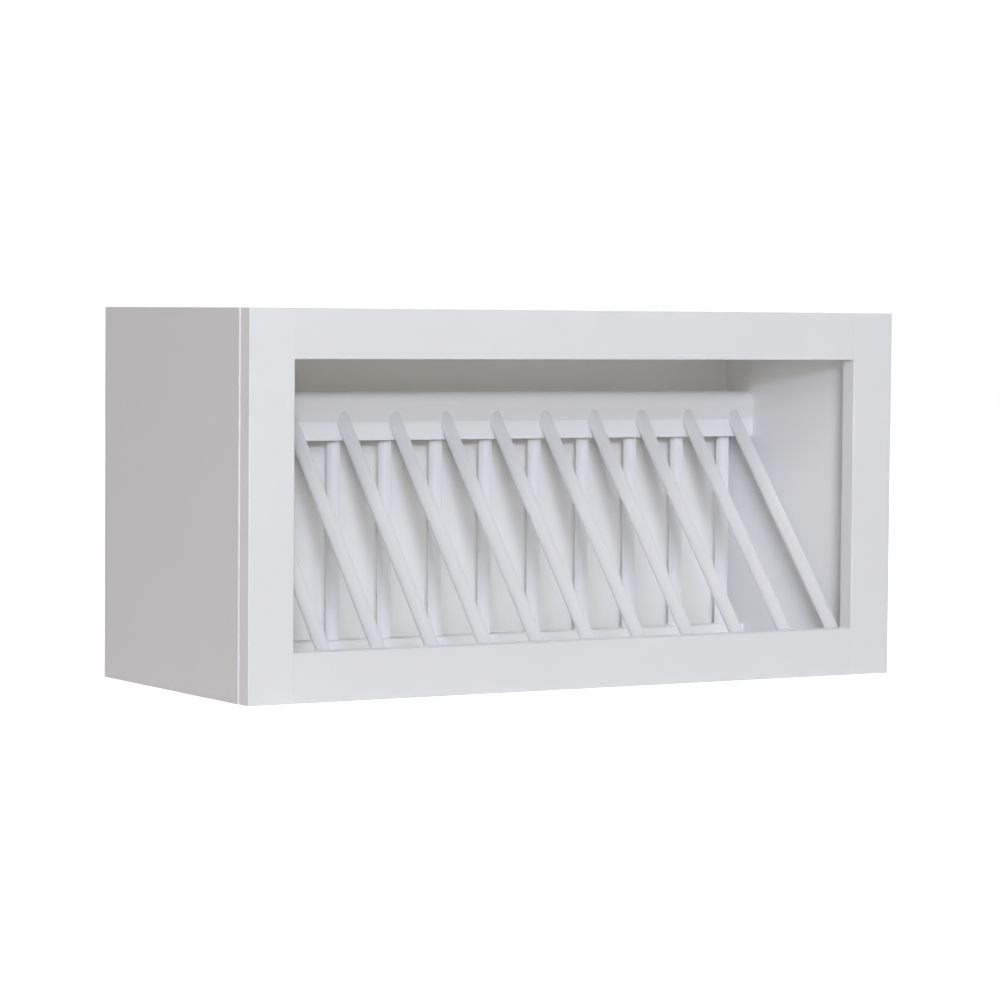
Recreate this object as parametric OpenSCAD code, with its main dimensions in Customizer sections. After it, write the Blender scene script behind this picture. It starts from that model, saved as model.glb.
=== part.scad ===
// Framed wall cabinet with an open front and a built-in plate rack.
// Millimetres, +Z up, front towards -Y. The origin is at the middle of the
// bottom, in the plane on which the sides and the face frame stand.

/* [Cabinet] */
// Width over the two side panels
cabinet_w = 762; // [680:1:914]
// Height of the side panels and stiles
cabinet_h = 381; // [365:1:480]
// Depth of the box behind the face frame
carcass_d = 305; // [290:1:380]
// Thickness of the side panels
side_t = 19; // [15:0.5:22]
// Thickness of the top and bottom panels
deck_t = 12.7; // [12:0.1:19]
// Step from the ends of the sides to the top and bottom panels
deck_recess = 6.3; // [3:0.1:12]
// Depth of the grooves that hold the panels
groove_depth = 6.3; // [4:0.1:8]
// Round on the outer front edge of each side panel
side_ease = 2; // [0.5:0.1:4]

/* [Face frame] */
// Thickness of the face frame
frame_t = 19; // [17:0.5:25]
// Width of the stiles
stile_w = 49; // [44:1:60]
// Height of the top and bottom rails of the frame
frame_rail_h = 49; // [44:1:60]
// How far the frame's outer edges lie inside the faces of the sides
frame_set = 1; // [0:0.1:3]
// Thickness of the side panels' front tongues
side_tongue_t = 6.3; // [4:0.1:8]
// Thickness of the tenons on the frame's rails
tenon_t = 6; // [5:0.1:8]
// Length of the tenons
tenon_l = 25; // [15:1:30]
// Shoulder above and below each tenon
tenon_shoulder = 7; // [4:1:10]
// Round on the frame's front edges
frame_ease = 1; // [0.5:0.1:2]

/* [Back] */
// Thickness of the back panel
back_t = 18; // [12:0.5:19]
// Height of the hanging rails behind the back panel
hanging_rail_h = 70; // [50:1:100]
// Thickness of the hanging rails
hanging_rail_t = 24; // [18:0.5:27]

/* [Plate rack] */
// Number of dowels in each of the two rows
dowel_n = 12; // [10:1:14]
// Diameter of the dowels
dowel_d = 14.3; // [11:0.1:16]
// Middle of the end dowels inside the faces of the side panels
end_set = 24.8; // [20:0.2:30]
// Space between the rack's cap rail and the back panel
rack_gap = 20; // [15:1:40]
// Height of the cap rail's top above the bottom panel
rack_h = 276; // [240:1:285]
// Depth of the cap rail
cap_d = 32; // [28:1:45]
// Height of the cap rail
cap_h = 31; // [27:1:40]
// Round on the cap rail's top front edge
cap_nose = 13; // [4:1:18]
// Round on the cap rail's top rear edge and on the sills' inner top edges
rail_ease = 2; // [0.5:0.1:4]
// Height of the header rail under the cap rail, as deep as the cap rail
header_h = 19.5; // [16:0.5:28]
// Depth of the back sill under the upright dowels
back_sill_d = 19; // [18:0.5:20]
// Height of the two sills on the bottom panel
sill_h = 16; // [15:1:24]
// Depth of the front sill
front_sill_d = 32; // [30:1:45]
// Middle of the sloped bores behind the face frame, on the front sill's top
foot_set = 14.5; // [14:0.5:18]
// Middle of the sloped bores ahead of the cap rail, at its underside
head_ahead = 0; // [0:0.5:4]
// Length of each sloped dowel inside the front sill
foot_seat = 12; // [9:1:13]
// Length of each sloped dowel past the cap rail's underside
head_seat = 19; // [14:1:22]
// Length of each upright dowel inside the header rail and the back sill
upright_seat = 12; // [8:1:12]

/* [Fasteners and fits] */
// Diameter of the pins between the cap rail and the sides
pin_d = 8; // [6:0.5:10]
// Length of each pin inside the cap rail
pin_in_rail = 20; // [15:1:30]
// Length of each pin inside the side panel
pin_in_side = 8; // [6:0.5:9]
// Middle of each pin below the cap rail's top and ahead of its rear face
pin_inset = 9; // [8:0.5:10]
// Diameter of the screws' shanks
screw_d = 4; // [3.5:0.1:5]
// Diameter of the screws' heads
screw_head_d = 8; // [7:0.1:10]
// Length of the screws that hold the sills
sill_screw_l = 26; // [20:1:27]
// Length of the screws that hold the header rail to the cap rail
header_screw_l = 38; // [28:1:42]
// Length of the screws that hold the hanging rails
hanging_screw_l = 35; // [28:1:38]
// Play on each side of a tongue or tenon
joint_fit = 0.1; // [0.05:0.05:0.2]
// Play round a dowel in its bore
dowel_fit = 0.1; // [0.05:0.05:0.2]
// Play round a pin or screw in its bore
pin_fit = 0.05; // [0.05:0.05:0.1]

/* [Hidden] */
$fn = 64;
// Overrun of a cut past the surface that it opens
cut = 1;
// Chamfer round the ends of a dowel or pin, as a share of its diameter
end_chamfer = 1 / 16;
// Radius of a screw's tip, as a share of its shank's diameter
screw_tip = 1 / 8;
paint = [0.93, 0.93, 0.94];
birch = [0.84, 0.74, 0.58];
zinc = [0.72, 0.73, 0.75];

// Planes of the cabinet, front to back and bottom to top
front_y = -(frame_t + carcass_d) / 2;
carcass_y = front_y + frame_t;
rear_y = carcass_y + carcass_d;
back_y = rear_y - hanging_rail_t - back_t;
outer_x = cabinet_w / 2;
inner_x = outer_x - side_t;
floor_z = deck_recess + deck_t;
ceiling_z = cabinet_h - floor_z;

// Face frame
stile_out_x = outer_x - frame_set;
opening_x = stile_out_x - stile_w;
opening_h = cabinet_h - 2 * frame_rail_h;
tenon_h = frame_rail_h - 2 * tenon_shoulder;

// Plate rack: both rows of dowels share the same spacing
row_x = inner_x - end_set;
pitch = 2 * row_x / (dowel_n - 1);
dowel_x = [for (i = [0:dowel_n - 1]) -row_x + pitch * i];
cap_y = back_y - rack_gap - cap_d;
cap_top_z = floor_z + rack_h;
cap_z = cap_top_z - cap_h;
header_z = cap_z - header_h;
sill_z = floor_z + sill_h;
// Where the axis of a sloped dowel crosses the sill's top and the cap's underside
foot = [carcass_y + foot_set, sill_z];
head = [cap_y - head_ahead, cap_z];
slope = atan2(head[0] - foot[0], head[1] - foot[1]);
slope_run = norm(head - foot);
// How far the cut of a sloped bore reaches out of its rail or sill
bore_reach = 2 * dowel_d;
// The back sill's rear face is below the rear faces of the cap and header rails
back_sill_y = cap_y + cap_d - back_sill_d;
upright_y = back_sill_y + back_sill_d / 2;
upright_z = sill_z - upright_seat;
upright_l = header_z - sill_z + 2 * upright_seat;

// Screws stand in the spaces between the dowels
screw_slots = [1, floor(dowel_n / 3), dowel_n - floor(dowel_n / 3), dowel_n - 1];
screw_x = [for (slot = screw_slots) (dowel_x[slot - 1] + dowel_x[slot]) / 2];
screw_head_h = (screw_head_d - screw_d) / 2;
sill_screw_y = [carcass_y + front_sill_d / 2, upright_y];
hanging_screw_z = [
    floor_z + hanging_rail_h / 2,
    ceiling_z - hanging_rail_h / 2
];

function numbered(name, i) = str(name, i < 9 ? "0" : "", i + 1);

// What a round of radius r takes off a corner that points to +X and +Y
module corner_waste(r) {
    difference() {
        square(r + cut);
        circle(r);
    }
}

// Takes the corner at the given point, turned by the given angle, down to a round
module round_corner(at, turn, r) {
    translate(at) rotate(turn) translate([-r, -r]) corner_waste(r);
}

// A flat outline in Y and Z, drawn along X over the given length
module along_x(length) {
    rotate([90, 0, 90]) linear_extrude(length, center = true) children();
}

// Box between two corners
module block(low, high) {
    translate(low) cube(high - low);
}

// Countersunk screw with its head's face at the origin, pointing up
module screw(length) {
    rotate_extrude() polygon([
        [0, 0],
        [screw_head_d / 2, 0],
        [screw_d / 2, screw_head_h],
        [screw_d / 2, length - screw_d],
        [screw_d * screw_tip, length],
        [0, length]
    ]);
}

// Bore and countersink for a screw, open at the head
module screw_bore(length) {
    bore_r = screw_d / 2 + pin_fit;
    sink_r = screw_head_d / 2 + pin_fit;
    rotate_extrude() polygon([
        [0, -cut],
        [sink_r, -cut],
        [sink_r, 0],
        [bore_r, screw_head_h],
        [bore_r, length + pin_fit],
        [0, length + pin_fit]
    ]);
}

// Round stick with chamfered ends, standing on the origin
module stick(length, d) {
    c = d * end_chamfer;
    rotate_extrude() polygon([
        [0, 0],
        [d / 2 - c, 0],
        [d / 2, c],
        [d / 2, length - c],
        [d / 2 - c, length],
        [0, length]
    ]);
}

// Puts its children on the axis of the sloped dowel at x, with the origin
// on the front sill's top and +Z towards the cap rail
module on_slope(x) {
    translate([x, foot[0], foot[1]]) rotate([-slope, 0, 0]) children();
}

// Puts its children at every screw of the sills, heads under the bottom panel
module at_sill_screws(ys = sill_screw_y) {
    for (x = screw_x, y = ys) translate([x, y, deck_recess]) children();
}

module at_header_screws() {
    for (x = screw_x) translate([x, upright_y, header_z]) children();
}

// Puts its children at the hanging rails' screws, heads in the rails' rear faces
module at_hanging_screws(zs = hanging_screw_z) {
    for (x = screw_x, z = zs) translate([x, rear_y, z]) rotate([90, 0, 0]) children();
}

module right_side_panel() {
    color(paint) difference() {
        linear_extrude(cabinet_h) difference() {
            union() {
                translate([inner_x, carcass_y]) square([side_t, carcass_d]);
                translate([inner_x, carcass_y - groove_depth])
                    square([side_tongue_t, groove_depth + cut]);
            }
            round_corner([outer_x, carcass_y], -90, side_ease);
        }
        for (z = [deck_recess, ceiling_z])
            block(
                [inner_x - cut, carcass_y - groove_depth - cut, z - joint_fit],
                [inner_x + groove_depth + joint_fit, rear_y + cut, z + deck_t + joint_fit]
            );
        block(
            [inner_x - cut, back_y - joint_fit, deck_recess],
            [inner_x + groove_depth + joint_fit, back_y + back_t + joint_fit, cabinet_h - deck_recess]
        );
        at_pin(1) cylinder(pin_in_side + cut, d = pin_d + 2 * pin_fit);
    }
}

module left_side_panel() {
    mirror([1, 0, 0]) right_side_panel();
}

// Puts its children on the axis of the cap rail's pin on one side, with the
// origin cut short of the side panel's face and +Z pointing outward
module at_pin(side) {
    translate([side * (inner_x - cut), cap_y + cap_d - pin_inset, cap_top_z - pin_inset])
        rotate([0, side * 90, 0]) children();
}

// Bottom panel without its screw bores. The top panel is its mirror image.
module deck() {
    difference() {
        union() {
            block(
                [-inner_x - groove_depth, carcass_y, deck_recess],
                [inner_x + groove_depth, rear_y, floor_z]
            );
            block(
                [-opening_x + joint_fit, carcass_y - groove_depth, deck_recess],
                [opening_x - joint_fit, carcass_y + cut, floor_z]
            );
        }
        block(
            [-outer_x, back_y - joint_fit, floor_z - groove_depth - joint_fit],
            [outer_x, back_y + back_t + joint_fit, floor_z + cut]
        );
    }
}

module bottom_panel() {
    color(paint) difference() {
        deck();
        at_sill_screws() screw_bore(sill_screw_l);
    }
}

module top_panel() {
    color(paint) translate([0, 0, cabinet_h]) mirror([0, 0, 1]) deck();
}

module back_panel() {
    color(paint) difference() {
        block(
            [-inner_x - groove_depth, back_y, floor_z - groove_depth],
            [inner_x + groove_depth, back_y + back_t, ceiling_z + groove_depth]
        );
        at_hanging_screws() screw_bore(hanging_screw_l);
    }
}

module hanging_rail(z) {
    color(birch) difference() {
        block([-inner_x, rear_y - hanging_rail_t, z], [inner_x, rear_y, z + hanging_rail_h]);
        at_hanging_screws([z + hanging_rail_h / 2]) screw_bore(hanging_screw_l);
    }
}

module upper_hanging_rail() {
    hanging_rail(ceiling_z - hanging_rail_h);
}

module lower_hanging_rail() {
    hanging_rail(floor_z);
}

module right_stile() {
    color(paint) difference() {
        linear_extrude(cabinet_h) difference() {
            translate([opening_x, front_y]) square([stile_w, frame_t]);
            round_corner([stile_out_x, front_y], -90, frame_ease);
            translate([inner_x - joint_fit, carcass_y - groove_depth - joint_fit])
                square([side_tongue_t + 2 * joint_fit, groove_depth + joint_fit + cut]);
        }
        // The opening's edge is eased between the rails only
        translate([0, 0, frame_rail_h]) linear_extrude(opening_h)
            round_corner([opening_x, front_y], 180, frame_ease);
        for (z = [tenon_shoulder, cabinet_h - tenon_shoulder - tenon_h])
            block(
                [opening_x - cut, front_y + (frame_t - tenon_t) / 2 - joint_fit, z - joint_fit],
                [opening_x + tenon_l + joint_fit, front_y + (frame_t + tenon_t) / 2 + joint_fit,
                    z + tenon_h + joint_fit]
            );
    }
}

module left_stile() {
    mirror([1, 0, 0]) right_stile();
}

module bottom_frame_rail() {
    color(paint) {
        along_x(2 * opening_x) difference() {
            translate([front_y, 0]) square([frame_t, frame_rail_h]);
            round_corner([front_y, frame_rail_h], 90, frame_ease);
            round_corner([front_y, 0], 180, frame_ease);
            translate([carcass_y - groove_depth - joint_fit, deck_recess - joint_fit])
                square([groove_depth + joint_fit + cut, deck_t + 2 * joint_fit]);
        }
        block(
            [-opening_x - tenon_l, front_y + (frame_t - tenon_t) / 2, tenon_shoulder],
            [opening_x + tenon_l, front_y + (frame_t + tenon_t) / 2, tenon_shoulder + tenon_h]
        );
    }
}

module top_frame_rail() {
    translate([0, 0, cabinet_h]) mirror([0, 0, 1]) bottom_frame_rail();
}

// Bores for the heads of the sloped dowels, through the header rail's front into the cap rail
module sloped_head_bores() {
    for (x = dowel_x)
        on_slope(x) translate([0, 0, slope_run - bore_reach])
            cylinder(bore_reach + head_seat, d = dowel_d + 2 * dowel_fit);
}

module rack_cap_rail() {
    color(paint) difference() {
        along_x(2 * inner_x) difference() {
            translate([cap_y, cap_z]) square([cap_d, cap_h]);
            round_corner([cap_y, cap_top_z], 90, cap_nose);
            round_corner([cap_y + cap_d, cap_top_z], 0, rail_ease);
        }
        sloped_head_bores();
        for (side = [-1, 1])
            at_pin(side) translate([0, 0, cut - pin_in_rail])
                cylinder(pin_in_rail + cut, d = pin_d + 2 * pin_fit);
        at_header_screws() screw_bore(header_screw_l);
    }
}

module rack_header_rail() {
    color(paint) difference() {
        block([-inner_x, cap_y, header_z], [inner_x, cap_y + cap_d, cap_z]);
        sloped_head_bores();
        for (x = dowel_x)
            translate([x, upright_y, header_z - cut])
                cylinder(upright_seat + cut, d = dowel_d + 2 * dowel_fit);
        at_header_screws() screw_bore(header_screw_l);
    }
}

module rack_back_sill() {
    color(paint) difference() {
        along_x(2 * inner_x) difference() {
            translate([back_sill_y, floor_z]) square([back_sill_d, sill_h]);
            round_corner([back_sill_y, sill_z], 90, rail_ease);
        }
        for (x = dowel_x)
            translate([x, upright_y, upright_z])
                cylinder(upright_seat + cut, d = dowel_d + 2 * dowel_fit);
        at_sill_screws([sill_screw_y[1]]) screw_bore(sill_screw_l);
    }
}

module rack_front_sill() {
    color(paint) difference() {
        along_x(2 * inner_x) difference() {
            translate([carcass_y, floor_z]) square([front_sill_d, sill_h]);
            round_corner([carcass_y + front_sill_d, sill_z], 0, rail_ease);
        }
        for (x = dowel_x)
            on_slope(x) translate([0, 0, -foot_seat])
                cylinder(foot_seat + bore_reach, d = dowel_d + 2 * dowel_fit);
        at_sill_screws([sill_screw_y[0]]) screw_bore(sill_screw_l);
    }
}

module sloped_dowel(x) {
    color(paint) on_slope(x) translate([0, 0, -foot_seat])
        stick(foot_seat + slope_run + head_seat, dowel_d);
}

module upright_dowel(x) {
    color(paint) translate([x, upright_y, upright_z]) stick(upright_l, dowel_d);
}

module cap_rail_pins() {
    color(birch) for (side = [-1, 1])
        at_pin(side) translate([0, 0, cut - pin_in_rail])
            stick(pin_in_rail + pin_in_side, pin_d);
}

module sill_screws() {
    color(zinc) at_sill_screws() screw(sill_screw_l);
}

module header_screws() {
    color(zinc) at_header_screws() screw(header_screw_l);
}

module hanging_rail_screws() {
    color(zinc) at_hanging_screws() screw(hanging_screw_l);
}

left_side_panel();
right_side_panel();
top_panel();
bottom_panel();
back_panel();
upper_hanging_rail();
lower_hanging_rail();
left_stile();
right_stile();
top_frame_rail();
bottom_frame_rail();
rack_cap_rail();
rack_header_rail();
rack_back_sill();
rack_front_sill();
cap_rail_pins();
sill_screws();
header_screws();
hanging_rail_screws();
for (i = [0:dowel_n - 1]) {
    sloped_dowel(dowel_x[i]);
    upright_dowel(dowel_x[i]);
}
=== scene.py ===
import math
import bpy
import bmesh
from mathutils import Matrix, Vector


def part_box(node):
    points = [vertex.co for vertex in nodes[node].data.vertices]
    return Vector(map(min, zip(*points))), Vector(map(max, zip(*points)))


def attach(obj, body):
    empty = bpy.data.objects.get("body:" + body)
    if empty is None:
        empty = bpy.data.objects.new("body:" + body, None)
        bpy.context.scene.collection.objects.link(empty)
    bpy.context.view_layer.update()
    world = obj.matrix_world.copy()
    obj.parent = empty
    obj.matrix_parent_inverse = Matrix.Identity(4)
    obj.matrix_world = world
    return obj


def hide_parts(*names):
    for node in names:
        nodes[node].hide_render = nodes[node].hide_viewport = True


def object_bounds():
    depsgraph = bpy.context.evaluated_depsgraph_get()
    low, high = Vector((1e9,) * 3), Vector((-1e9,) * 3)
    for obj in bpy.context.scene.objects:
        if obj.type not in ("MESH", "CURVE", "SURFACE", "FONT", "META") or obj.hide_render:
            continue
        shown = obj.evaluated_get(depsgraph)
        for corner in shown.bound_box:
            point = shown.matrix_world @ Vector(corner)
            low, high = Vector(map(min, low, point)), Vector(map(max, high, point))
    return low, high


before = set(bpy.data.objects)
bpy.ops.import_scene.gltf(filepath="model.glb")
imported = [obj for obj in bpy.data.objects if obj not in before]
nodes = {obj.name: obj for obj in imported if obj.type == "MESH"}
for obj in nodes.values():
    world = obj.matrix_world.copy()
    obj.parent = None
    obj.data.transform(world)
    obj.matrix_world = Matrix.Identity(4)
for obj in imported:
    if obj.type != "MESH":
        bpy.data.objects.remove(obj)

cad_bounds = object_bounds()
scene = bpy.context.scene
scene.view_settings.view_transform = "Standard"

# Camera: the photograph's own view, in metres and degrees
CAMERA_PLACE = (-1.9745, -3.2961, 0.3735)
CAMERA_TURN = (87.163, -0.466, -30.846)
CAMERA_LENS_MM = 132.6
SENSOR_MM = 36.0

# Softboxes: bearing left of the front, rise above level, width and height (degrees), watts, tint
SOFTBOX_DISTANCE = 8.0
SOFTBOXES = {
    "key_softbox": (26.8, 8.4, 9.0, 3.2, 223.0, (0.82, 0.84, 1.0)),
    "low_softbox": (29.5, 4.2, 4.0, 4.0, 44.0, (1.0, 0.95, 0.72)),
    "front_softbox": (27.0, 16.0, 6.5, 4.0, 81.0, (0.85, 0.86, 1.0)),
    "upper_softbox": (27.0, 33.0, 6.5, 20.0, 126.0, (0.99, 1.0, 0.94)),
    "wide_softbox": (27.0, 22.0, 60.0, 26.0, 60.0, (0.80, 0.84, 1.0)),
    "overhead_softbox": (27.0, 64.0, 60.0, 28.0, 70.0, (0.97, 0.98, 1.0)),
    "left_softbox": (85.0, 15.0, 50.0, 29.5, 79.0, (1.0, 0.81, 0.79)),
    "right_softbox": (-35.0, 25.0, 50.0, 45.0, 31.0, (0.92, 1.0, 0.80)),
    "rear_softbox": (205.0, 35.0, 40.0, 30.0, 170.0, (1.0, 1.0, 1.0)),
}

# White surroundings: how bright they look, and the light that they give
ROOM_LOOK = 1.05
ROOM_TINT = (1.0, 1.0, 1.0)
ROOM_STRENGTH = 0.005

# Floor: half its width, its depth under the cabinet, its grey, and how brightly it glows to the eye
FLOOR_HALF = 15.0
FLOOR_DROP = 0.0003
FLOOR_GREY = (0.8, 0.8, 0.8)
FLOOR_LOOK = 1.0

# Light thrown up by the floor round the cabinet
FLOOR_TINT = (1.0, 0.93, 0.52)
FLOOR_STRENGTH = 0.13

# Tone of the paint by the kind of piece. All pieces are painted the same white; these tones differ as
# painted light and shade, so each piece looks as bright as it does under the lamps: the front frame and
# the sloped dowels darker, the cap darker than the header
PAINT_AND_SHADE_TONES = {
    "side": (0.92, 0.92, 0.93),
    "ceiling": (0.93, 0.93, 0.92),
    "floor": (0.95, 0.95, 0.96),
    "back": (0.935, 0.93, 0.915),
    "stile": (0.745, 0.745, 0.75),
    "frame_rail": (0.723, 0.723, 0.73),
    "cap": (0.835, 0.835, 0.845),
    "header": (0.91, 0.91, 0.92),
    "sill": (0.94, 0.945, 0.94),
    "upright": (0.86, 0.86, 0.87),
    "sloped": (0.74, 0.74, 0.745),
}

# Painted shade on the left side's outer face, which is turned away from the lamps: share of its tone that
# it keeps there, and how far in from that face it does
OUTSIDE_SHADE_SHARE = (0.80, 0.80, 0.81)
OUTSIDE_SHADE_DEPTH = 0.0018

# Colours of the bare wood and of zinc
BIRCH_DARK = (0.50, 0.36, 0.21)
BIRCH_PALE = (0.74, 0.60, 0.41)
END_GRAIN = (0.40, 0.27, 0.15)
ZINC_DARK = (0.50, 0.51, 0.53)
ZINC_PALE = (0.74, 0.75, 0.77)

# Roughness of each surface, from its smoothest to its roughest spots, and of bare wood beyond paint's
PAINT_ROUGHNESS = (0.36, 0.47)
ZINC_ROUGHNESS = (0.25, 0.4)
BIRCH_ROUGHNESS = 0.62
BARE_ROUGHER = 0.25

# Satin paint: slow clouds of tone, and orange peel, by how many go to a metre
CLOUDS = 6.0
CLOUD_LIGHT = 1.010
CLOUD_DARK = 0.986
PEELS = 460.0

# Relief of the pores, of the orange peel and of bare grain: strength and depth
PORE_RELIEF = (0.14, 0.0002)
PEEL_RELIEF = (0.10, 0.00012)
GRAIN_RELIEF = (0.25, 0.0002)

# Length and width of a wood pore under the paint, and how much larger the patches of sheen are
PORE_LONG = 0.12
PORE_WIDE = 0.0035
SHEEN_SIZE = 4

# Bare birch: length and width of a line of the grain, and how much larger its flames are
GRAIN_LONG = 0.16
GRAIN_WIDE = 0.004
RAIL_GRAIN_WIDE = 0.006
FLAME_SIZE = 7

# Plywood's edge: thickness and length of a ply's patches, and its flecks' number to a metre and share
PLY = 0.0015
PLY_PATCH = 0.03
FLECKS = 1800.0
FLECK_SHARE = 0.35

# Spots of the zinc, by how many go to a metre
ZINC_SPOTS = 900.0

# Values between which most of a noise lies
NOISE_LOW = 0.3
NOISE_HIGH = 0.7

# Edges look softened by the paint over this radius
PAINT_SOFTENING = 0.0006
SOFTENING_SAMPLES = 4

# How evenly the paint's matt body looks lit, from 0 to 1
STILE_MATTNESS = 0.1
RAIL_MATTNESS = 0.6
DOWEL_MATTNESS = 0.8

# How far in front of a bare face the paint stops
PAINT_MARGIN = 0.0002

# Look of a node: the first of these words that its name holds decides
LOOK_BY_WORD = {
    "left_side": "left_side",
    "right_side": "right_side",
    "top_panel": "ceiling",
    "bottom_panel": "floor",
    "back_panel": "back",
    "hanging_rail": "birch",
    "pins": "birch",
    "screws": "zinc",
    "stile": "stile",
    "frame_rail": "frame_rail",
    "upright": "upright",
    "sloped": "sloped",
    "sill": "sill",
    "header": "header",
    "rack": "cap",
}

# Faces that meet at more than this many degrees keep a sharp edge
SHARP_ANGLE = 35

# The sloped dowels' axis in Y and Z: at the front sill's top and at the cap rail's lower edge
SLOPE_FOOT = Vector((0.0, -0.1285, 0.035))
SLOPE_HEAD = Vector((0.0, 0.068, 0.264))
SLOPE = math.atan2(SLOPE_HEAD.y - SLOPE_FOOT.y, SLOPE_HEAD.z - SLOPE_FOOT.z)
DOWEL_COUNT = 12
DOWEL_RADIUS = 0.00715

# Paint that has gathered round the dowels where they enter the rails
FILLET = 0.0012
FILLET_SINK = 0.0001
FILLET_SIDES = 40
FILLET_STEPS = 4

# Swells and ripples round each fillet: how many, and their share of its size
FILLET_SWELLS = 3
FILLET_SWELL_SHARE = 0.25
FILLET_RIPPLES = 5
FILLET_RIPPLE_SHARE = 0.15

# How far the swells turn from one dowel to the next, in radians, by the fillets' piece
FILLET_PHASES = {"back_sill": 1.7, "header": 2.3, "front_sill": 1.3, "cap_and_header": 2.9}

# Paint in the joints between the sides and the stiles, over the sides' eased edges
SIDE_TONGUE = 0.0063
JOINT_DEPTH = 0.0004
JOINT_REACH = 0.0009
JOINT_WIDTH = 4 * JOINT_DEPTH
JOINT_END = 0.001
JOINT_STEPS = 60

# Swells and ripples along each joint: radians from end to end, and their share of its depth
JOINT_SWELLS = 23
JOINT_SWELL_SHARE = 0.2
JOINT_RIPPLES = 61
JOINT_RIPPLE_SHARE = 0.15

# Countersunk screws with a cross recess
HEAD_RADIUS = 0.004
HEAD_HEIGHT = 0.002
HEAD_ROUND = 0.0003
SHANK_RADIUS = 0.002
THREAD_DEPTH = 0.0005
THREAD_PITCH = 0.0018
TIP_LENGTH = 0.004
RECESS_REACH = 0.0023
RECESS_WIDTH = 0.0006
RECESS_DEPTH = 0.0014
RECESS_TAPER = 0.35
SCREW_SIDES = 24

# How the crosses are turned: the first one's angle, and the step to the next, in radians
CROSS_TURN = 0.4
CROSS_STEP = 0.9

# Corners of a screw's solid that are closer than this are one corner
SAME_CORNER = 1e-6


def make_camera():
    data = bpy.data.cameras.new("photo_camera")
    data.sensor_width = SENSOR_MM
    data.lens = CAMERA_LENS_MM
    camera = bpy.data.objects.new("photo_camera", data)
    camera.location = CAMERA_PLACE
    camera.rotation_euler = [math.radians(a) for a in CAMERA_TURN]
    scene.collection.objects.link(camera)
    scene.camera = camera


def make_softbox(name, bearing, rise, wide, tall, power, tint):
    """Area light that faces the cabinet's middle, its size given as seen from there."""
    data = bpy.data.lights.new(name, "AREA")
    data.shape = "RECTANGLE"
    data.size = 2 * SOFTBOX_DISTANCE * math.tan(math.radians(wide / 2))
    data.size_y = 2 * SOFTBOX_DISTANCE * math.tan(math.radians(tall / 2))
    data.energy = power
    data.color = tint
    light = bpy.data.objects.new(name, data)
    turn, lift = math.radians(bearing), math.radians(rise)
    away = Vector((-math.sin(turn) * math.cos(lift), -math.cos(turn) * math.cos(lift), math.sin(lift)))
    middle = (cad_bounds[0] + cad_bounds[1]) / 2
    light.location = middle + away * SOFTBOX_DISTANCE
    light.rotation_euler = away.to_track_quat("Z", "Y").to_euler()
    scene.collection.objects.link(light)


def seen_or_lighting(tree, seen, lighting):
    """Mixes two shaders: one that is seen directly, and one that lights the object."""
    path = tree.nodes.new("ShaderNodeLightPath")
    mix = tree.nodes.new("ShaderNodeMixShader")
    tree.links.new(path.outputs["Is Camera Ray"], mix.inputs["Fac"])
    tree.links.new(lighting, mix.inputs[1])
    tree.links.new(seen, mix.inputs[2])
    return mix.outputs[0]


def backdrop(tree, colour, strength):
    node = tree.nodes.new("ShaderNodeBackground")
    node.inputs["Color"].default_value = (*colour, 1)
    node.inputs["Strength"].default_value = strength
    return node.outputs[0]


def make_room():
    world = bpy.data.worlds.new("white_room")
    world.use_nodes = True
    tree = world.node_tree
    tree.nodes.clear()
    seen = backdrop(tree, (1, 1, 1), ROOM_LOOK)
    lighting = backdrop(tree, ROOM_TINT, ROOM_STRENGTH)
    output = tree.nodes.new("ShaderNodeOutputWorld")
    tree.links.new(seen_or_lighting(tree, seen, lighting), output.inputs["Surface"])
    scene.world = world


def glowing(tree, surface, colour, strength):
    """Adds a glow to a shader."""
    glow = tree.nodes.new("ShaderNodeEmission")
    glow.inputs["Color"].default_value = (*colour, 1)
    glow.inputs["Strength"].default_value = strength
    both = tree.nodes.new("ShaderNodeAddShader")
    tree.links.new(surface, both.inputs[0])
    tree.links.new(glow.outputs[0], both.inputs[1])
    return both.outputs[0]


def make_floor():
    half, low = FLOOR_HALF, -FLOOR_DROP
    mesh = bpy.data.meshes.new("studio_floor")
    corners = [(-half, -half, low), (half, -half, low), (half, half, low), (-half, half, low)]
    mesh.from_pydata(corners, [], [(0, 1, 2, 3)])
    floor = bpy.data.objects.new("studio_floor", mesh)
    material = bpy.data.materials.new("pale_floor")
    material.use_nodes = True
    tree = material.node_tree
    tree.nodes.clear()
    matt = tree.nodes.new("ShaderNodeBsdfDiffuse")
    matt.inputs["Color"].default_value = (*FLOOR_GREY, 1)
    seen = glowing(tree, matt.outputs[0], (1, 1, 1), FLOOR_LOOK)
    lighting = glowing(tree, matt.outputs[0], FLOOR_TINT, FLOOR_STRENGTH)
    output = tree.nodes.new("ShaderNodeOutputMaterial")
    tree.links.new(seen_or_lighting(tree, seen, lighting), output.inputs["Surface"])
    mesh.materials.append(material)
    scene.collection.objects.link(floor)


def noise(tree, vector, scale=1.0, detail=2.0, roughness=0.5):
    node = tree.nodes.new("ShaderNodeTexNoise")
    node.inputs["Scale"].default_value = scale
    node.inputs["Detail"].default_value = detail
    node.inputs["Roughness"].default_value = roughness
    tree.links.new(vector, node.inputs["Vector"])
    return node.outputs["Fac"]


def sized(tree, vector, size, turn=0.0):
    """Coordinates that count in features of the given size, turned about X."""
    node = tree.nodes.new("ShaderNodeMapping")
    node.vector_type = "TEXTURE"
    node.inputs["Rotation"].default_value = (turn, 0.0, 0.0)
    node.inputs["Scale"].default_value = size
    tree.links.new(vector, node.inputs["Vector"])
    return node.outputs["Vector"]


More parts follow.
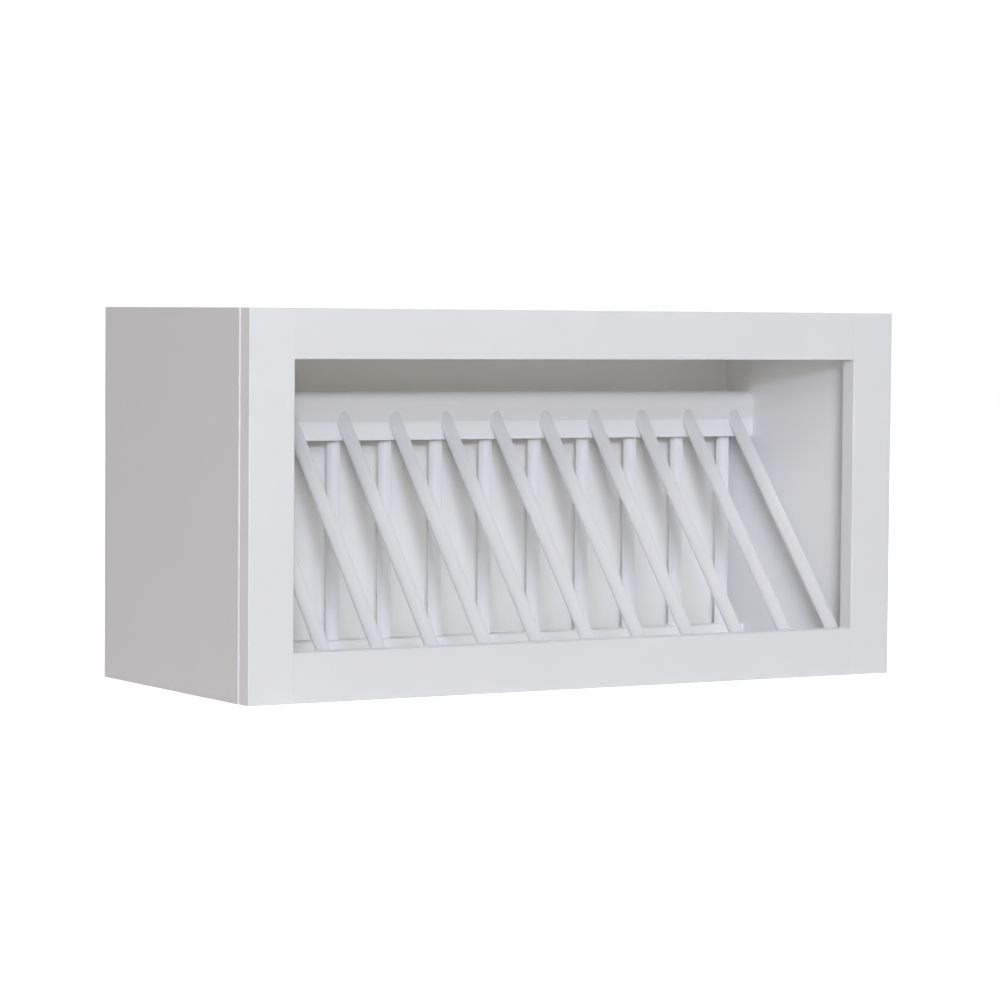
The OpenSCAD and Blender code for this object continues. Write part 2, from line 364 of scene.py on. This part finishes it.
def remapped(tree, value, low, high):
    """Spreads a noise over the range from low to high."""
    node = tree.nodes.new("ShaderNodeMapRange")
    node.inputs["From Min"].default_value = NOISE_LOW
    node.inputs["From Max"].default_value = NOISE_HIGH
    node.inputs["To Min"].default_value = low
    node.inputs["To Max"].default_value = high
    tree.links.new(value, node.inputs["Value"])
    return node.outputs["Result"]


def bumped(tree, height, relief, normal):
    node = tree.nodes.new("ShaderNodeBump")
    node.inputs["Strength"].default_value = relief[0]
    node.inputs["Distance"].default_value = relief[1]
    tree.links.new(height, node.inputs["Height"])
    tree.links.new(normal, node.inputs["Normal"])
    return node.outputs["Normal"]


def softened(tree):
    node = tree.nodes.new("ShaderNodeBevel")
    node.samples = SOFTENING_SAMPLES
    node.inputs["Radius"].default_value = PAINT_SOFTENING
    return node.outputs["Normal"]


def tinted(tree, fac, first, second, blend="MIX"):
    """Goes from the first colour to the second, or to their product, as fac goes from 0 to 1."""
    node = tree.nodes.new("ShaderNodeMix")
    node.data_type = "RGBA"
    node.blend_type = blend
    for index, colour in ((6, first), (7, second)):
        if isinstance(colour, bpy.types.NodeSocket):
            tree.links.new(colour, node.inputs[index])
        else:
            node.inputs[index].default_value = (*colour, 1)
    tree.links.new(fac, node.inputs[0])
    return node.outputs[2]


def compared(tree, operation, first, second=0.0):
    node = tree.nodes.new("ShaderNodeMath")
    node.operation = operation
    for index, value in enumerate((first, second)):
        if isinstance(value, bpy.types.NodeSocket):
            tree.links.new(value, node.inputs[index])
        else:
            node.inputs[index].default_value = value
    return node.outputs[0]


def new_material(name):
    material = bpy.data.materials.new(name)
    material.use_nodes = True
    tree = material.node_tree
    shader = tree.nodes["Principled BSDF"]
    place = tree.nodes.new("ShaderNodeTexCoord").outputs["Object"]
    return material, tree, shader, place


def birch_tone(tree, place, size):
    """Colour and height of bare birch whose grain has the given size along X, Y and Z."""
    lines = noise(tree, sized(tree, place, size), detail=5.0, roughness=0.65)
    flame = noise(tree, sized(tree, place, [s * FLAME_SIZE for s in size]))
    tone = tinted(tree, remapped(tree, lines, 0.0, 1.0), BIRCH_DARK, BIRCH_PALE)
    warm = tinted(tree, remapped(tree, flame, 0.25, 0.75), tone, BIRCH_PALE)
    return warm, lines


def ply_tone(tree, place, across):
    """Colour of a plywood edge. across is the axis through the plies, 0 for X and 2 for Z."""
    size = [PLY_PATCH, PLY_PATCH, PLY_PATCH]
    size[across] = PLY
    layers = noise(tree, sized(tree, place, size), detail=1.0, roughness=0.4)
    fleck = noise(tree, place, FLECKS)
    tone = tinted(tree, remapped(tree, layers, 0.0, 1.0), END_GRAIN, BIRCH_PALE)
    return tinted(tree, remapped(tree, fleck, 0.0, FLECK_SHARE), tone, BIRCH_DARK)


def satin_paint(name, tone, pore_size, turn=0.0, mattness=0.0):
    """White satin paint over wood whose pores have the given size, turned about X."""
    material, tree, shader, place = new_material(name)
    cloud = remapped(tree, noise(tree, place, CLOUDS, detail=3.0), 0.0, 1.0)
    light = [min(1.0, c * CLOUD_LIGHT) for c in tone]
    dark = [c * CLOUD_DARK for c in tone]
    tree.links.new(tinted(tree, cloud, dark, light), shader.inputs["Base Color"])
    sheen = noise(tree, sized(tree, place, [s * SHEEN_SIZE for s in pore_size], turn), detail=3.0)
    tree.links.new(remapped(tree, sheen, *PAINT_ROUGHNESS), shader.inputs["Roughness"])
    shader.inputs["Diffuse Roughness"].default_value = mattness
    pores = noise(tree, sized(tree, place, pore_size, turn), detail=4.0, roughness=0.6)
    normal = bumped(tree, pores, PORE_RELIEF, softened(tree))
    peel = noise(tree, place, PEELS, detail=1.0)
    normal = bumped(tree, peel, PEEL_RELIEF, normal)
    tree.links.new(normal, shader.inputs["Normal"])
    return material


def rear_of(node):
    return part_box(node)[1].y


def half_painted(name, tone, pore_size, rear, inside=None, plies=None):
    """Paint that stops at a rear face or edge, behind which the birch is bare.

    rear is that face's Y. inside is an axis, a middle and a half width: behind the
    back panel the wood is bare within it. plies is the axis through the plies.
    """
    material = satin_paint(name, tone, pore_size)
    tree = material.node_tree
    shader = tree.nodes["Principled BSDF"]
    place = tree.nodes["Texture Coordinate"].outputs["Object"]
    split = tree.nodes.new("ShaderNodeSeparateXYZ")
    tree.links.new(place, split.inputs[0])
    depth = split.outputs["Y"]
    paint = shader.inputs["Base Color"].links[0].from_socket
    grain_y = GRAIN_WIDE if inside is None else GRAIN_LONG
    bare = birch_tone(tree, place, (GRAIN_LONG, grain_y, GRAIN_WIDE))[0]
    behind = compared(tree, "GREATER_THAN", depth, rear - PAINT_MARGIN)
    if inside is not None:
        axis, middle, half = inside
        offset = compared(tree, "SUBTRACT", split.outputs[axis], middle)
        within = compared(tree, "LESS_THAN", compared(tree, "ABSOLUTE", offset), half + PAINT_MARGIN)
        hidden = compared(tree, "GREATER_THAN", depth, rear_of("back_panel") - PAINT_MARGIN)
        bare = tinted(tree, behind, bare, ply_tone(tree, place, plies))
        behind = compared(tree, "MAXIMUM", behind, compared(tree, "MULTIPLY", within, hidden))
    tree.links.new(tinted(tree, behind, paint, bare), shader.inputs["Base Color"])
    gloss = shader.inputs["Roughness"].links[0].from_socket
    rougher = compared(tree, "MULTIPLY", behind, BARE_ROUGHER)
    tree.links.new(compared(tree, "ADD", gloss, rougher), shader.inputs["Roughness"])
    return material


def shaded_outside(material, outer_x):
    """Paints shade on the left side's outer face: its paint there is darker than inside, where it turns
    away from the lamps.
    """
    tree = material.node_tree
    shader = tree.nodes["Principled BSDF"]
    split = tree.nodes["Separate XYZ"]
    outside = compared(tree, "LESS_THAN", split.outputs["X"], outer_x + OUTSIDE_SHADE_DEPTH)
    tone = shader.inputs["Base Color"].links[0].from_socket
    shaded = tinted(tree, outside, tone, OUTSIDE_SHADE_SHARE, "MULTIPLY")
    tree.links.new(shaded, shader.inputs["Base Color"])


def bare_birch(name):
    material, tree, shader, place = new_material(name)
    tone, lines = birch_tone(tree, place, (GRAIN_LONG, RAIL_GRAIN_WIDE, RAIL_GRAIN_WIDE))
    tree.links.new(tone, shader.inputs["Base Color"])
    shader.inputs["Roughness"].default_value = BIRCH_ROUGHNESS
    tree.links.new(bumped(tree, lines, GRAIN_RELIEF, softened(tree)), shader.inputs["Normal"])
    return material


def zinc(name):
    material, tree, shader, place = new_material(name)
    shader.inputs["Metallic"].default_value = 1.0
    spots = noise(tree, place, ZINC_SPOTS, detail=3.0)
    tree.links.new(tinted(tree, spots, ZINC_DARK, ZINC_PALE), shader.inputs["Base Color"])
    tree.links.new(remapped(tree, spots, *ZINC_ROUGHNESS), shader.inputs["Roughness"])
    return material


def make_materials():
    along_x = (PORE_LONG, PORE_WIDE, PORE_WIDE)
    along_z = (PORE_WIDE, PORE_WIDE, PORE_LONG)
    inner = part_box("rack_cap_rail")[1].x
    floor_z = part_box("rack_back_sill")[0].z
    ceiling_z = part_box("upper_hanging_rail")[1].z
    middle_z = (floor_z + ceiling_z) / 2
    rear = cad_bounds[1].y
    # These tones carry painted light and shade as well as the paint's white
    shaded_tones = PAINT_AND_SHADE_TONES
    inner_sides = ("X", 0.0, inner)
    inner_edges = ("Z", middle_z, ceiling_z - middle_z)
    made = {
        "left_side": half_painted("left_side_paint", shaded_tones["side"], along_z, rear, inner_sides, 0),
        "right_side": half_painted("right_side_paint", shaded_tones["side"], along_z, rear, inner_sides, 0),
        "ceiling": half_painted("ceiling_paint", shaded_tones["ceiling"], along_x, rear, inner_edges, 2),
        "floor": half_painted("floor_paint", shaded_tones["floor"], along_x, rear, inner_edges, 2),
        "back": half_painted("back_paint", shaded_tones["back"], along_x, rear_of("back_panel")),
        "stile": satin_paint("stile_paint", shaded_tones["stile"], along_z, 0.0, STILE_MATTNESS),
        "frame_rail": satin_paint("frame_rail_paint", shaded_tones["frame_rail"], along_x, 0.0, RAIL_MATTNESS),
        "cap": satin_paint("cap_paint", shaded_tones["cap"], along_x),
        "header": satin_paint("header_paint", shaded_tones["header"], along_x),
        "sill": satin_paint("sill_paint", shaded_tones["sill"], along_x),
        "upright": satin_paint("upright_paint", shaded_tones["upright"], along_z, 0.0, DOWEL_MATTNESS),
        "sloped": satin_paint("sloped_paint", shaded_tones["sloped"], along_z, -SLOPE, DOWEL_MATTNESS),
        "birch": bare_birch("bare_birch"),
        "zinc": zinc("zinc_steel"),
    }
    # Painted shade on the left side's outer face
    shaded_outside(made["left_side"], cad_bounds[0].x)
    return made


def dress_nodes(made):
    for name, thing in nodes.items():
        look = next(LOOK_BY_WORD[word] for word in LOOK_BY_WORD if word in name)
        for place in thing.material_slots:
            place.material = made[look]


def new_piece(name, bm, material):
    bmesh.ops.recalc_face_normals(bm, faces=bm.faces)
    mesh = bpy.data.meshes.new(name)
    bm.to_mesh(mesh)
    bm.free()
    for face in mesh.polygons:
        face.use_smooth = True
    mesh.set_sharp_from_angle(angle=math.radians(SHARP_ANGLE))
    mesh.materials.append(material)
    piece = bpy.data.objects.new(name, mesh)
    scene.collection.objects.link(piece)
    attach(piece, "root")
    return piece


def band(bm, first, second):
    """Faces between two closed loops that have as many corners."""
    for place in range(len(first)):
        after = (place + 1) % len(first)
        bm.faces.new((first[place], first[after], second[after], second[place]))


def new_corners(bm, points):
    return [bm.verts.new(point) for point in points]


def add_fillet(bm, on_axis, axis, face_point, face_normal, phase):
    """Ring of gathered paint where a dowel leaves a flat face."""
    side = Vector((1.0, 0.0, 0.0))
    other = axis.cross(side)
    rows = []
    for index in range(FILLET_SIDES):
        angle = 2 * math.pi * index / FILLET_SIDES
        radial = side * math.cos(angle) + other * math.sin(angle)
        line = on_axis + radial * DOWEL_RADIUS
        base = line + axis * ((face_point - line).dot(face_normal) / axis.dot(face_normal))
        flat = (radial - face_normal * radial.dot(face_normal)).normalized()
        swell = FILLET_SWELL_SHARE * math.sin(FILLET_SWELLS * angle + phase)
        ripple = FILLET_RIPPLE_SHARE * math.sin(FILLET_RIPPLES * angle - 2 * phase)
        size = FILLET * (1 + swell + ripple)
        low = base + flat * size - face_normal * FILLET_SINK
        high = base + axis * size - radial * FILLET_SINK
        row = []
        for step in range(FILLET_STEPS + 1):
            t = step / FILLET_STEPS
            row.append(low * (1 - t) ** 2 + base * 2 * t * (1 - t) + high * t ** 2)
        row.append(base - flat * FILLET_SINK - face_normal * FILLET_SINK)
        rows.append(row)
    loops = [new_corners(bm, row) for row in rows]
    for index, loop in enumerate(loops):
        band(bm, loop, loops[(index + 1) % len(loops)])


def make_fillets(made):
    up = Vector((0.0, 0.0, 1.0))
    front = Vector((0.0, -1.0, 0.0))
    sloped = (SLOPE_HEAD - SLOPE_FOOT).normalized()
    sill_top = Vector((0.0, 0.0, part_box("rack_back_sill")[1].z))
    header_low = Vector((0.0, 0.0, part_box("rack_header_rail")[0].z))
    rail_front = Vector((0.0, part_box("rack_cap_rail")[0].y, 0.0))
    meshes = {name: bmesh.new() for name in FILLET_PHASES}
    for number in range(1, DOWEL_COUNT + 1):
        phases = {name: number * phase for name, phase in FILLET_PHASES.items()}
        low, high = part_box(f"upright_dowel_{number:02d}")
        centre = (low + high) / 2
        add_fillet(meshes["back_sill"], centre, up, sill_top, up, phases["back_sill"])
        add_fillet(meshes["header"], centre, -up, header_low, -up, phases["header"])
        low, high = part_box(f"sloped_dowel_{number:02d}")
        centre = Vector(((low.x + high.x) / 2, SLOPE_FOOT.y, SLOPE_FOOT.z))
        add_fillet(meshes["front_sill"], centre, sloped, sill_top, up, phases["front_sill"])
        add_fillet(meshes["cap_and_header"], centre, -sloped, rail_front, front, phases["cap_and_header"])
    for name, bm in meshes.items():
        new_piece(f"{name}_paint_fillets", bm, made["sill" if "sill" in name else "header"])


def make_joint_paint(made):
    """Paint that has run into the joint between each side panel and its stile."""
    bm = bmesh.new()
    low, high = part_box("right_stile")
    joint_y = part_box("left_side_panel")[0].y + SIDE_TONGUE
    front_y = joint_y - FILLET_SINK
    rear_y = joint_y + JOINT_REACH
    for way in (-1, 1):
        inner = way * (high.x - JOINT_WIDTH)
        loops = []
        for index in range(JOINT_STEPS + 1):
            t = index / JOINT_STEPS
            z = low.z + JOINT_END + (high.z - low.z - 2 * JOINT_END) * t
            swell = JOINT_SWELL_SHARE * math.sin(JOINT_SWELLS * t + way)
            ripple = JOINT_RIPPLE_SHARE * math.sin(JOINT_RIPPLES * t - way)
            outer = way * (high.x - JOINT_DEPTH * (1 + swell + ripple))
            loops.append(new_corners(bm, [(outer, front_y, z), (outer, rear_y, z), (inner, front_y, z)]))
        for first, second in zip(loops, loops[1:]):
            band(bm, first, second)
        bm.faces.new(loops[0])
        bm.faces.new(loops[-1])
    new_piece("joint_paint", bm, made["left_side"])


def screw_rows(length):
    """Radius and distance from the head's face, from the head's edge to the tip."""
    rows = [(HEAD_RADIUS - HEAD_ROUND, 0.0), (HEAD_RADIUS, HEAD_ROUND), (SHANK_RADIUS, HEAD_HEIGHT)]
    root = SHANK_RADIUS - THREAD_DEPTH
    shoulder, point = root / 4, root / 8
    along = HEAD_HEIGHT + THREAD_PITCH
    while along < length - TIP_LENGTH:
        rows += [(root, along), (SHANK_RADIUS, along + THREAD_PITCH / 2)]
        along += THREAD_PITCH
    rows += [(root, length - TIP_LENGTH), (shoulder, length - HEAD_ROUND), (point, length)]
    return rows


def circle(radius, along):
    """Points round a screw's axis, at a distance from its head's face."""
    angles = [2 * math.pi * index / SCREW_SIDES for index in range(SCREW_SIDES)]
    return [(radius * math.cos(angle), radius * math.sin(angle), along) for angle in angles]


def cross_outline(share, depth):
    """The twelve corners of the cross recess, at a share of its size and a depth."""
    reach, half = RECESS_REACH * share, RECESS_WIDTH * share
    arm = [(reach, -half), (reach, half), (half, half)]
    turns = [(1, 0), (0, 1), (-1, 0), (0, -1)]
    return [Vector((x * c - y * s, x * s + y * c, depth)) for c, s in turns for x, y in arm]


def filled(bm, *loops):
    """Flat face within the first loop, with the second one as its hole."""
    edges = []
    for loop in loops:
        for index, corner in enumerate(loop):
            pair = (corner, loop[(index + 1) % len(loop)])
            edges.append(bm.edges.get(pair) or bm.edges.new(pair))
    bmesh.ops.triangle_fill(bm, use_beauty=True, edges=edges)


def add_screw(bm, length, place):
    """Screw with its head's face at the origin, pointing along +Z, then moved to its place."""
    first = len(bm.verts)
    rings = [new_corners(bm, circle(radius, along)) for radius, along in screw_rows(length)]
    for one, two in zip(rings, rings[1:]):
        band(bm, one, two)
    bm.faces.new(rings[-1])
    top = new_corners(bm, cross_outline(1.0, 0.0))
    low = new_corners(bm, cross_outline(RECESS_TAPER, RECESS_DEPTH))
    band(bm, top, low)
    filled(bm, rings[0], top)
    filled(bm, low)
    bm.verts.ensure_lookup_table()
    bmesh.ops.transform(bm, matrix=place, verts=bm.verts[first:])


def solids_of(node):
    """Box of each separate solid of a CAD node, in order of its lowest corner."""
    bm = bmesh.new()
    bm.from_mesh(nodes[node].data)
    bmesh.ops.remove_doubles(bm, verts=bm.verts, dist=SAME_CORNER)
    left = set(bm.verts)
    boxes = []
    while left:
        group = [left.pop()]
        for vert in group:
            for edge in vert.link_edges:
                near = edge.other_vert(vert)
                if near in left:
                    left.remove(near)
                    group.append(near)
        places = [vert.co for vert in group]
        low = Vector([min(p[axis] for p in places) for axis in range(3)])
        high = Vector([max(p[axis] for p in places) for axis in range(3)])
        boxes.append((low, high))
    bm.free()
    return sorted(boxes, key=lambda box: tuple(round(v, 5) for v in box[0]))


def make_screws(made):
    for node in ("sill_screws", "header_screws", "hanging_rail_screws"):
        bm = bmesh.new()
        for number, (low, high) in enumerate(solids_of(node)):
            centre = (low + high) / 2
            spin = Matrix.Rotation(CROSS_STEP * number + CROSS_TURN, 4, "Z")
            if node == "hanging_rail_screws":
                head = Vector((centre.x, high.y, centre.z))
                length = high.y - low.y
                turn = Matrix.Rotation(math.radians(90), 4, "X")
            else:
                head = Vector((centre.x, centre.y, low.z))
                length = high.z - low.z
                turn = Matrix.Identity(4)
            add_screw(bm, length, Matrix.Translation(head) @ turn @ spin)
        piece = new_piece(node.replace("screws", "cross_screws"), bm, made["zinc"])
        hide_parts(node)


make_camera()
for name, values in SOFTBOXES.items():
    make_softbox(name, *values)
make_room()
make_floor()
materials = make_materials()
dress_nodes(materials)
make_fillets(materials)
make_joint_paint(materials)
make_screws(materials)
